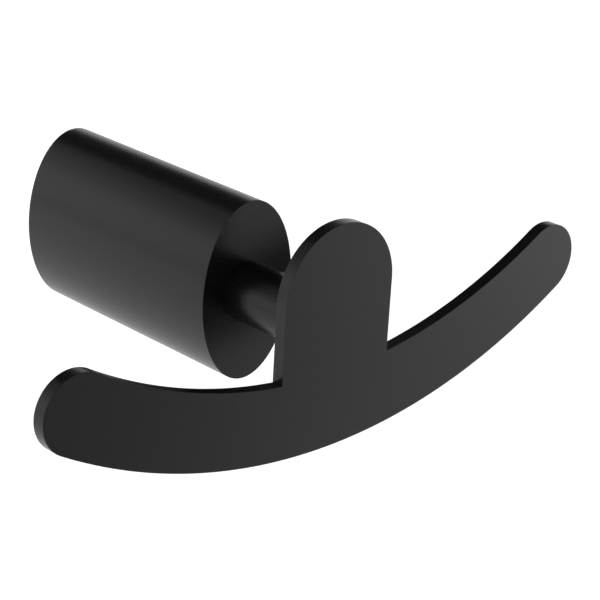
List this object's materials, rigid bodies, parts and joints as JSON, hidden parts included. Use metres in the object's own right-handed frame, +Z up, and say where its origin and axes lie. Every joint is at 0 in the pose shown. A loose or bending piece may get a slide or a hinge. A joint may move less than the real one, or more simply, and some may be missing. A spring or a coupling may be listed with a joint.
{
  "type": "robe hook",
  "caption": "Wall-mounted robe hook: an oval barrel carries a round neck and a flat plate with upswept rounded arms and a round-topped middle tab.",
  "frame": {"origin": "on the wall plane, at the centre of the bracket's back face, on the barrel's axis", "axes": "+Y into the wall, so the hook stands out along -Y; +Z up; +X to the right seen from the front"},
  "size_m": [0.1478, 0.0864, 0.0485],
  "materials": {
    "black_coat": "satin black coating, very finely textured",
    "bracket_metal": "dull grey cast surface",
    "dark_steel": "blackened, slightly oily",
    "plated_steel": "bright zinc plate"
  },
  "bodies": {
    "root": {"barrel": "black_coat", "neck": "black_coat", "hook_plate": "black_coat", "wall_bracket": "bracket_metal", "grub_screw": "dark_steel", "neck_screw": "plated_steel", "flat_washer": "plated_steel", "spring_washer": "plated_steel"}
  },
  "joints": []
}
